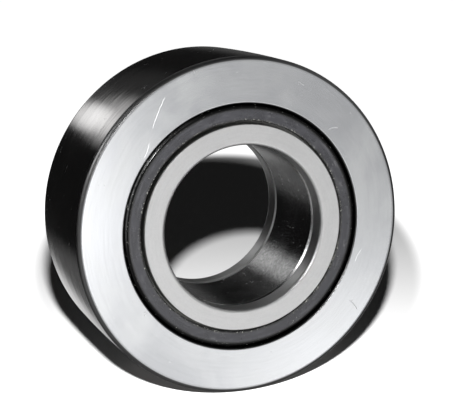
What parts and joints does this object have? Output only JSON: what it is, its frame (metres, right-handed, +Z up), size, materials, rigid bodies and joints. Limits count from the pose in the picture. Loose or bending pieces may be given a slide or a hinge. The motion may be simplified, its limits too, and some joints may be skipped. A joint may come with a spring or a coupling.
{
  "type": "yoke type track roller",
  "caption": "Cam follower without a stud: a thick crowned outer ring turns on full rows of cylindrical rollers around a bored inner ring held between flange rings.",
  "frame": {"origin": "centre of the bore, midway between the two end faces", "axes": "+Y along the bore axis from the front face, which looks along -Y, to the rear face; +Z up and +X to the right, seen from the front"},
  "size_m": [0.072, 0.029, 0.072],
  "materials": {
    "outer_ring_steel": "hardened steel, ground satin end faces and a ground running surface",
    "flange_ring_steel": "hardened steel, finely ground and bright",
    "bearing_steel": "hardened steel, ground and honed",
    "roller_steel": "hardened steel, polished",
    "blackened_sheet_steel": "pressed sheet steel with a satin black oxide coating"
  },
  "bodies": {
    "inner_assembly": {"inner_ring": "bearing_steel", "front_flange_ring": "flange_ring_steel", "rear_flange_ring": "flange_ring_steel"},
    "outer_assembly": {"outer_ring": "outer_ring_steel", "front_angle_ring": "blackened_sheet_steel", "rear_angle_ring": "blackened_sheet_steel"},
    "front_roller_row": {"front_roller_01": "roller_steel"},
    "front_roller_02": {"front_roller_02": "roller_steel"},
    "front_roller_03": {"front_roller_03": "roller_steel"},
    "front_roller_04": {"front_roller_04": "roller_steel"},
    "front_roller_05": {"front_roller_05": "roller_steel"},
    "front_roller_06": {"front_roller_06": "roller_steel"},
    "front_roller_07": {"front_roller_07": "roller_steel"},
    "front_roller_08": {"front_roller_08": "roller_steel"},
    "front_roller_09": {"front_roller_09": "roller_steel"},
    "front_roller_10": {"front_roller_10": "roller_steel"},
    "front_roller_11": {"front_roller_11": "roller_steel"},
    "front_roller_12": {"front_roller_12": "roller_steel"},
    "front_roller_13": {"front_roller_13": "roller_steel"},
    "front_roller_14": {"front_roller_14": "roller_steel"},
    "front_roller_15": {"front_roller_15": "roller_steel"},
    "front_roller_16": {"front_roller_16": "roller_steel"},
    "front_roller_17": {"front_roller_17": "roller_steel"},
    "front_roller_18": {"front_roller_18": "roller_steel"},
    "front_roller_19": {"front_roller_19": "roller_steel"},
    "front_roller_20": {"front_roller_20": "roller_steel"},
    "front_roller_21": {"front_roller_21": "roller_steel"},
    "front_roller_22": {"front_roller_22": "roller_steel"},
    "front_roller_23": {"front_roller_23": "roller_steel"},
    "front_roller_24": {"front_roller_24": "roller_steel"},
    "front_roller_25": {"front_roller_25": "roller_steel"},
    "front_roller_26": {"front_roller_26": "roller_steel"},
    "front_roller_27": {"front_roller_27": "roller_steel"},
    "rear_roller_row": {"rear_roller_01": "roller_steel"},
    "rear_roller_02": {"rear_roller_02": "roller_steel"},
    "rear_roller_03": {"rear_roller_03": "roller_steel"},
    "rear_roller_04": {"rear_roller_04": "roller_steel"},
    "rear_roller_05": {"rear_roller_05": "roller_steel"},
    "rear_roller_06": {"rear_roller_06": "roller_steel"},
    "rear_roller_07": {"rear_roller_07": "roller_steel"},
    "rear_roller_08": {"rear_roller_08": "roller_steel"},
    "rear_roller_09": {"rear_roller_09": "roller_steel"},
    "rear_roller_10": {"rear_roller_10": "roller_steel"},
    "rear_roller_11": {"rear_roller_11": "roller_steel"},
    "rear_roller_12": {"rear_roller_12": "roller_steel"},
    "rear_roller_13": {"rear_roller_13": "roller_steel"},
    "rear_roller_14": {"rear_roller_14": "roller_steel"},
    "rear_roller_15": {"rear_roller_15": "roller_steel"},
    "rear_roller_16": {"rear_roller_16": "roller_steel"},
    "rear_roller_17": {"rear_roller_17": "roller_steel"},
    "rear_roller_18": {"rear_roller_18": "roller_steel"},
    "rear_roller_19": {"rear_roller_19": "roller_steel"},
    "rear_roller_20": {"rear_roller_20": "roller_steel"},
    "rear_roller_21": {"rear_roller_21": "roller_steel"},
    "rear_roller_22": {"rear_roller_22": "roller_steel"},
    "rear_roller_23": {"rear_roller_23": "roller_steel"},
    "rear_roller_24": {"rear_roller_24": "roller_steel"},
    "rear_roller_25": {"rear_roller_25": "roller_steel"},
    "rear_roller_26": {"rear_roller_26": "roller_steel"},
    "rear_roller_27": {"rear_roller_27": "roller_steel"}
  },
  "joints": [
    {"name": "outer_spin", "type": "hinge", "parent": "inner_assembly", "child": "outer_assembly", "pos_m": [0, 0, 0], "axis": [0, 1, 0], "continuous": true},
    {"name": "front_row_orbit", "type": "hinge", "parent": "inner_assembly", "child": "front_roller_row", "pos_m": [0, -0.00498, 0], "axis": [0, 1, 0], "continuous": true},
    {"name": "front_roller_02_spin", "type": "hinge", "parent": "front_roller_row", "child": "front_roller_02", "pos_m": [0.02365, -0.00498, 0.00561], "axis": [0, 1, 0], "continuous": true},
    {"name": "front_roller_03_spin", "type": "hinge", "parent": "front_roller_row", "child": "front_roller_03", "pos_m": [0.02172, -0.00498, 0.01091], "axis": [0, 1, 0], "continuous": true},
    {"name": "front_roller_04_spin", "type": "hinge", "parent": "front_roller_row", "child": "front_roller_04", "pos_m": [0.01862, -0.00498, 0.01563], "axis": [0, 1, 0], "continuous": true},
    {"name": "front_roller_05_spin", "type": "hinge", "parent": "front_roller_row", "child": "front_roller_05", "pos_m": [0.01452, -0.00498, 0.0195], "axis": [0, 1, 0], "continuous": true},
    {"name": "front_roller_06_spin", "type": "hinge", "parent": "front_roller_row", "child": "front_roller_06", "pos_m": [0.00963, -0.00498, 0.02232], "axis": [0, 1, 0], "continuous": true},
    {"name": "front_roller_07_spin", "type": "hinge", "parent": "front_roller_row", "child": "front_roller_07", "pos_m": [0.00422, -0.00498, 0.02394], "axis": [0, 1, 0], "continuous": true},
    {"name": "front_roller_08_spin", "type": "hinge", "parent": "front_roller_row", "child": "front_roller_08", "pos_m": [-0.00141, -0.00498, 0.02427], "axis": [0, 1, 0], "continuous": true},
    {"name": "front_roller_09_spin", "type": "hinge", "parent": "front_roller_row", "child": "front_roller_09", "pos_m": [-0.00697, -0.00498, 0.02329], "axis": [0, 1, 0], "continuous": true},
    {"name": "front_roller_10_spin", "type": "hinge", "parent": "front_roller_row", "child": "front_roller_10", "pos_m": [-0.01215, -0.00498, 0.02105], "axis": [0, 1, 0], "continuous": true},
    {"name": "front_roller_11_spin", "type": "hinge", "parent": "front_roller_row", "child": "front_roller_11", "pos_m": [-0.01668, -0.00498, 0.01768], "axis": [0, 1, 0], "continuous": true},
    {"name": "front_roller_12_spin", "type": "hinge", "parent": "front_roller_row", "child": "front_roller_12", "pos_m": [-0.02031, -0.00498, 0.01336], "axis": [0, 1, 0], "continuous": true},
    {"name": "front_roller_13_spin", "type": "hinge", "parent": "front_roller_row", "child": "front_roller_13", "pos_m": [-0.02284, -0.00498, 0.00831], "axis": [0, 1, 0], "continuous": true},
    {"name": "front_roller_14_spin", "type": "hinge", "parent": "front_roller_row", "child": "front_roller_14", "pos_m": [-0.02415, -0.00498, 0.00282], "axis": [0, 1, 0], "continuous": true},
    {"name": "front_roller_15_spin", "type": "hinge", "parent": "front_roller_row", "child": "front_roller_15", "pos_m": [-0.02415, -0.00498, -0.00282], "axis": [0, 1, 0], "continuous": true},
    {"name": "front_roller_16_spin", "type": "hinge", "parent": "front_roller_row", "child": "front_roller_16", "pos_m": [-0.02284, -0.00498, -0.00831], "axis": [0, 1, 0], "continuous": true},
    {"name": "front_roller_17_spin", "type": "hinge", "parent": "front_roller_row", "child": "front_roller_17", "pos_m": [-0.02031, -0.00498, -0.01336], "axis": [0, 1, 0], "continuous": true},
    {"name": "front_roller_18_spin", "type": "hinge", "parent": "front_roller_row", "child": "front_roller_18", "pos_m": [-0.01668, -0.00498, -0.01768], "axis": [0, 1, 0], "continuous": true},
    {"name": "front_roller_19_spin", "type": "hinge", "parent": "front_roller_row", "child": "front_roller_19", "pos_m": [-0.01215, -0.00498, -0.02105], "axis": [0, 1, 0], "continuous": true},
    {"name": "front_roller_20_spin", "type": "hinge", "parent": "front_roller_row", "child": "front_roller_20", "pos_m": [-0.00697, -0.00498, -0.02329], "axis": [0, 1, 0], "continuous": true},
    {"name": "front_roller_21_spin", "type": "hinge", "parent": "front_roller_row", "child": "front_roller_21", "pos_m": [-0.00141, -0.00498, -0.02427], "axis": [0, 1, 0], "continuous": true},
    {"name": "front_roller_22_spin", "type": "hinge", "parent": "front_roller_row", "child": "front_roller_22", "pos_m": [0.00422, -0.00498, -0.02394], "axis": [0, 1, 0], "continuous": true},
    {"name": "front_roller_23_spin", "type": "hinge", "parent": "front_roller_row", "child": "front_roller_23", "pos_m": [0.00963, -0.00498, -0.02232], "axis": [0, 1, 0], "continuous": true},
    {"name": "front_roller_24_spin", "type": "hinge", "parent": "front_roller_row", "child": "front_roller_24", "pos_m": [0.01452, -0.00498, -0.0195], "axis": [0, 1, 0], "continuous": true},
    {"name": "front_roller_25_spin", "type": "hinge", "parent": "front_roller_row", "child": "front_roller_25", "pos_m": [0.01862, -0.00498, -0.01563], "axis": [0, 1, 0], "continuous": true},
    {"name": "front_roller_26_spin", "type": "hinge", "parent": "front_roller_row", "child": "front_roller_26", "pos_m": [0.02172, -0.00498, -0.01091], "axis": [0, 1, 0], "continuous": true},
    {"name": "front_roller_27_spin", "type": "hinge", "parent": "front_roller_row", "child": "front_roller_27", "pos_m": [0.02365, -0.00498, -0.00561], "axis": [0, 1, 0], "continuous": true},
    {"name": "rear_row_orbit", "type": "hinge", "parent": "inner_assembly", "child": "rear_roller_row", "pos_m": [0, 0.00498, 0], "axis": [0, 1, 0], "continuous": true},
    {"name": "rear_roller_02_spin", "type": "hinge", "parent": "rear_roller_row", "child": "rear_roller_02", "pos_m": [0.02284, 0.00498, 0.00831], "axis": [0, 1, 0], "continuous": true},
    {"name": "rear_roller_03_spin", "type": "hinge", "parent": "rear_roller_row", "child": "rear_roller_03", "pos_m": [0.02031, 0.00498, 0.01336], "axis": [0, 1, 0], "continuous": true},
    {"name": "rear_roller_04_spin", "type": "hinge", "parent": "rear_roller_row", "child": "rear_roller_04", "pos_m": [0.01668, 0.00498, 0.01768], "axis": [0, 1, 0], "continuous": true},
    {"name": "rear_roller_05_spin", "type": "hinge", "parent": "rear_roller_row", "child": "rear_roller_05", "pos_m": [0.01215, 0.00498, 0.02105], "axis": [0, 1, 0], "continuous": true},
    {"name": "rear_roller_06_spin", "type": "hinge", "parent": "rear_roller_row", "child": "rear_roller_06", "pos_m": [0.00697, 0.00498, 0.02329], "axis": [0, 1, 0], "continuous": true},
    {"name": "rear_roller_07_spin", "type": "hinge", "parent": "rear_roller_row", "child": "rear_roller_07", "pos_m": [0.00141, 0.00498, 0.02427], "axis": [0, 1, 0], "continuous": true},
    {"name": "rear_roller_08_spin", "type": "hinge", "parent": "rear_roller_row", "child": "rear_roller_08", "pos_m": [-0.00422, 0.00498, 0.02394], "axis": [0, 1, 0], "continuous": true},
    {"name": "rear_roller_09_spin", "type": "hinge", "parent": "rear_roller_row", "child": "rear_roller_09", "pos_m": [-0.00963, 0.00498, 0.02232], "axis": [0, 1, 0], "continuous": true},
    {"name": "rear_roller_10_spin", "type": "hinge", "parent": "rear_roller_row", "child": "rear_roller_10", "pos_m": [-0.01452, 0.00498, 0.0195], "axis": [0, 1, 0], "continuous": true},
    {"name": "rear_roller_11_spin", "type": "hinge", "parent": "rear_roller_row", "child": "rear_roller_11", "pos_m": [-0.01862, 0.00498, 0.01563], "axis": [0, 1, 0], "continuous": true},
    {"name": "rear_roller_12_spin", "type": "hinge", "parent": "rear_roller_row", "child": "rear_roller_12", "pos_m": [-0.02172, 0.00498, 0.01091], "axis": [0, 1, 0], "continuous": true},
    {"name": "rear_roller_13_spin", "type": "hinge", "parent": "rear_roller_row", "child": "rear_roller_13", "pos_m": [-0.02365, 0.00498, 0.00561], "axis": [0, 1, 0], "continuous": true},
    {"name": "rear_roller_14_spin", "type": "hinge", "parent": "rear_roller_row", "child": "rear_roller_14", "pos_m": [-0.02431, 0.00498, 0], "axis": [0, 1, 0], "continuous": true},
    {"name": "rear_roller_15_spin", "type": "hinge", "parent": "rear_roller_row", "child": "rear_roller_15", "pos_m": [-0.02365, 0.00498, -0.00561], "axis": [0, 1, 0], "continuous": true},
    {"name": "rear_roller_16_spin", "type": "hinge", "parent": "rear_roller_row", "child": "rear_roller_16", "pos_m": [-0.02172, 0.00498, -0.01091], "axis": [0, 1, 0], "continuous": true},
    {"name": "rear_roller_17_spin", "type": "hinge", "parent": "rear_roller_row", "child": "rear_roller_17", "pos_m": [-0.01862, 0.00498, -0.01563], "axis": [0, 1, 0], "continuous": true},
    {"name": "rear_roller_18_spin", "type": "hinge", "parent": "rear_roller_row", "child": "rear_roller_18", "pos_m": [-0.01452, 0.00498, -0.0195], "axis": [0, 1, 0], "continuous": true},
    {"name": "rear_roller_19_spin", "type": "hinge", "parent": "rear_roller_row", "child": "rear_roller_19", "pos_m": [-0.00963, 0.00498, -0.02232], "axis": [0, 1, 0], "continuous": true},
    {"name": "rear_roller_20_spin", "type": "hinge", "parent": "rear_roller_row", "child": "rear_roller_20", "pos_m": [-0.00422, 0.00498, -0.02394], "axis": [0, 1, 0], "continuous": true},
    {"name": "rear_roller_21_spin", "type": "hinge", "parent": "rear_roller_row", "child": "rear_roller_21", "pos_m": [0.00141, 0.00498, -0.02427], "axis": [0, 1, 0], "continuous": true},
    {"name": "rear_roller_22_spin", "type": "hinge", "parent": "rear_roller_row", "child": "rear_roller_22", "pos_m": [0.00697, 0.00498, -0.02329], "axis": [0, 1, 0], "continuous": true},
    {"name": "rear_roller_23_spin", "type": "hinge", "parent": "rear_roller_row", "child": "rear_roller_23", "pos_m": [0.01215, 0.00498, -0.02105], "axis": [0, 1, 0], "continuous": true},
    {"name": "rear_roller_24_spin", "type": "hinge", "parent": "rear_roller_row", "child": "rear_roller_24", "pos_m": [0.01668, 0.00498, -0.01768], "axis": [0, 1, 0], "continuous": true},
    {"name": "rear_roller_25_spin", "type": "hinge", "parent": "rear_roller_row", "child": "rear_roller_25", "pos_m": [0.02031, 0.00498, -0.01336], "axis": [0, 1, 0], "continuous": true},
    {"name": "rear_roller_26_spin", "type": "hinge", "parent": "rear_roller_row", "child": "rear_roller_26", "pos_m": [0.02284, 0.00498, -0.00831], "axis": [0, 1, 0], "continuous": true},
    {"name": "rear_roller_27_spin", "type": "hinge", "parent": "rear_roller_row", "child": "rear_roller_27", "pos_m": [0.02415, 0.00498, -0.00282], "axis": [0, 1, 0], "continuous": true}
  ],
  "couplings": [
    {"joint": "front_row_orbit", "follows": "outer_spin", "ratio": 0.5578},
    {"joint": "front_roller_02_spin", "follows": "outer_spin", "ratio": 4.3609},
    {"joint": "front_roller_03_spin", "follows": "outer_spin", "ratio": 4.3609},
    {"joint": "front_roller_04_spin", "follows": "outer_spin", "ratio": 4.3609},
    {"joint": "front_roller_05_spin", "follows": "outer_spin", "ratio": 4.3609},
    {"joint": "front_roller_06_spin", "follows": "outer_spin", "ratio": 4.3609},
    {"joint": "front_roller_07_spin", "follows": "outer_spin", "ratio": 4.3609},
    {"joint": "front_roller_08_spin", "follows": "outer_spin", "ratio": 4.3609},
    {"joint": "front_roller_09_spin", "follows": "outer_spin", "ratio": 4.3609},
    {"joint": "front_roller_10_spin", "follows": "outer_spin", "ratio": 4.3609},
    {"joint": "front_roller_11_spin", "follows": "outer_spin", "ratio": 4.3609},
    {"joint": "front_roller_12_spin", "follows": "outer_spin", "ratio": 4.3609},
    {"joint": "front_roller_13_spin", "follows": "outer_spin", "ratio": 4.3609},
    {"joint": "front_roller_14_spin", "follows": "outer_spin", "ratio": 4.3609},
    {"joint": "front_roller_15_spin", "follows": "outer_spin", "ratio": 4.3609},
    {"joint": "front_roller_16_spin", "follows": "outer_spin", "ratio": 4.3609},
    {"joint": "front_roller_17_spin", "follows": "outer_spin", "ratio": 4.3609},
    {"joint": "front_roller_18_spin", "follows": "outer_spin", "ratio": 4.3609},
    {"joint": "front_roller_19_spin", "follows": "outer_spin", "ratio": 4.3609},
    {"joint": "front_roller_20_spin", "follows": "outer_spin", "ratio": 4.3609},
    {"joint": "front_roller_21_spin", "follows": "outer_spin", "ratio": 4.3609},
    {"joint": "front_roller_22_spin", "follows": "outer_spin", "ratio": 4.3609},
    {"joint": "front_roller_23_spin", "follows": "outer_spin", "ratio": 4.3609},
    {"joint": "front_roller_24_spin", "follows": "outer_spin", "ratio": 4.3609},
    {"joint": "front_roller_25_spin", "follows": "outer_spin", "ratio": 4.3609},
    {"joint": "front_roller_26_spin", "follows": "outer_spin", "ratio": 4.3609},
    {"joint": "front_roller_27_spin", "follows": "outer_spin", "ratio": 4.3609},
    {"joint": "rear_row_orbit", "follows": "outer_spin", "ratio": 0.5578},
    {"joint": "rear_roller_02_spin", "follows": "outer_spin", "ratio": 4.3609},
    {"joint": "rear_roller_03_spin", "follows": "outer_spin", "ratio": 4.3609},
    {"joint": "rear_roller_04_spin", "follows": "outer_spin", "ratio": 4.3609},
    {"joint": "rear_roller_05_spin", "follows": "outer_spin", "ratio": 4.3609},
    {"joint": "rear_roller_06_spin", "follows": "outer_spin", "ratio": 4.3609},
    {"joint": "rear_roller_07_spin", "follows": "outer_spin", "ratio": 4.3609},
    {"joint": "rear_roller_08_spin", "follows": "outer_spin", "ratio": 4.3609},
    {"joint": "rear_roller_09_spin", "follows": "outer_spin", "ratio": 4.3609},
    {"joint": "rear_roller_10_spin", "follows": "outer_spin", "ratio": 4.3609},
    {"joint": "rear_roller_11_spin", "follows": "outer_spin", "ratio": 4.3609},
    {"joint": "rear_roller_12_spin", "follows": "outer_spin", "ratio": 4.3609},
    {"joint": "rear_roller_13_spin", "follows": "outer_spin", "ratio": 4.3609},
    {"joint": "rear_roller_14_spin", "follows": "outer_spin", "ratio": 4.3609},
    {"joint": "rear_roller_15_spin", "follows": "outer_spin", "ratio": 4.3609},
    {"joint": "rear_roller_16_spin", "follows": "outer_spin", "ratio": 4.3609},
    {"joint": "rear_roller_17_spin", "follows": "outer_spin", "ratio": 4.3609},
    {"joint": "rear_roller_18_spin", "follows": "outer_spin", "ratio": 4.3609},
    {"joint": "rear_roller_19_spin", "follows": "outer_spin", "ratio": 4.3609},
    {"joint": "rear_roller_20_spin", "follows": "outer_spin", "ratio": 4.3609},
    {"joint": "rear_roller_21_spin", "follows": "outer_spin", "ratio": 4.3609},
    {"joint": "rear_roller_22_spin", "follows": "outer_spin", "ratio": 4.3609},
    {"joint": "rear_roller_23_spin", "follows": "outer_spin", "ratio": 4.3609},
    {"joint": "rear_roller_24_spin", "follows": "outer_spin", "ratio": 4.3609},
    {"joint": "rear_roller_25_spin", "follows": "outer_spin", "ratio": 4.3609},
    {"joint": "rear_roller_26_spin", "follows": "outer_spin", "ratio": 4.3609},
    {"joint": "rear_roller_27_spin", "follows": "outer_spin", "ratio": 4.3609}
  ]
}
